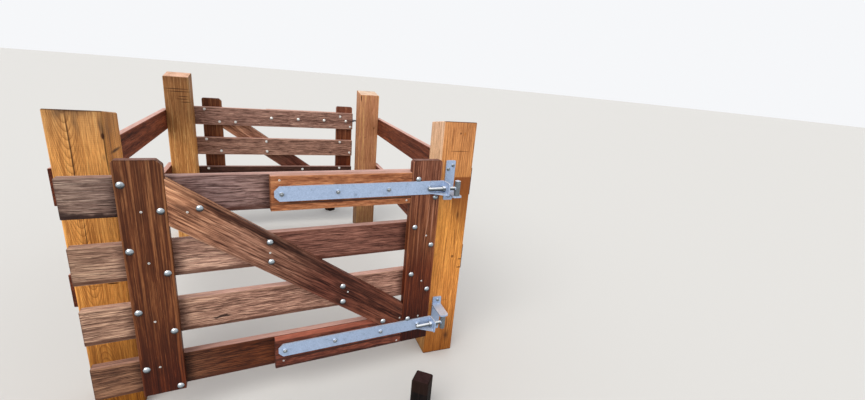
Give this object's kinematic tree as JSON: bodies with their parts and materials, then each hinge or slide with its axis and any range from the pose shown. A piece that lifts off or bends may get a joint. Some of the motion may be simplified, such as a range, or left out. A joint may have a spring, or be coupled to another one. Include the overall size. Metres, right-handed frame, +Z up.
{
  "type": "kissing gate",
  "caption": "Timber kissing gate: a square pen of posts and side boards between two braced swing gates on galvanised strap hinges.",
  "frame": {"origin": "centre of the front hinge post's foot, at ground level", "axes": "+Z up, +X from the latch posts to the hinge posts, +Y from the front gate to the back gate"},
  "size_m": [1.791, 3.0884, 1.3794],
  "materials": {
    "post_timber": "fresh sawn orange hardwood",
    "board_timber": "sawn dark red-brown hardwood, weathering",
    "packer_timber": "sawn red-orange hardwood",
    "galvanised_steel": "hot-dip galvanised"
  },
  "bodies": {
    "pen": {"front_hinge_post": "post_timber", "front_latch_post": "post_timber", "back_hinge_post": "post_timber", "back_latch_post": "post_timber", "left_upper_board": "board_timber", "left_lower_board": "board_timber", "right_upper_board": "board_timber", "right_lower_board": "board_timber", "front_upper_bracket": "galvanised_steel", "front_lower_bracket": "galvanised_steel", "front_gate_stop": "board_timber", "back_upper_bracket": "galvanised_steel", "back_lower_bracket": "galvanised_steel", "back_gate_stop": "board_timber"},
    "front_gate": {"front_top_rail": "board_timber", "front_upper_rail": "board_timber", "front_lower_rail": "board_timber", "front_bottom_rail": "board_timber", "front_latch_stile": "board_timber", "front_hinge_stile": "board_timber", "front_brace": "board_timber", "front_upper_packer": "packer_timber", "front_lower_packer": "packer_timber", "front_upper_strap": "galvanised_steel", "front_lower_strap": "galvanised_steel", "front_upper_eye_bolt": "galvanised_steel", "front_lower_eye_bolt": "galvanised_steel"},
    "back_gate": {"back_top_rail": "board_timber", "back_upper_rail": "board_timber", "back_lower_rail": "board_timber", "back_bottom_rail": "board_timber", "back_latch_stile": "board_timber", "back_hinge_stile": "board_timber", "back_brace": "board_timber", "back_upper_packer": "packer_timber", "back_lower_packer": "packer_timber", "back_upper_strap": "galvanised_steel", "back_lower_strap": "galvanised_steel", "back_upper_eye_bolt": "galvanised_steel", "back_lower_eye_bolt": "galvanised_steel"}
  },
  "joints": [
    {"name": "front_gate_hinge", "type": "hinge", "parent": "pen", "child": "front_gate", "pos_m": [-0.0375, -0.1935, 1.035], "axis": [0, 0, 1], "range_deg": [-4, 47]},
    {"name": "back_gate_hinge", "type": "hinge", "parent": "pen", "child": "back_gate", "pos_m": [-0.0375, 2.1685, 1.035], "axis": [0, 0, -1], "range_deg": [0, 51]}
  ]
}
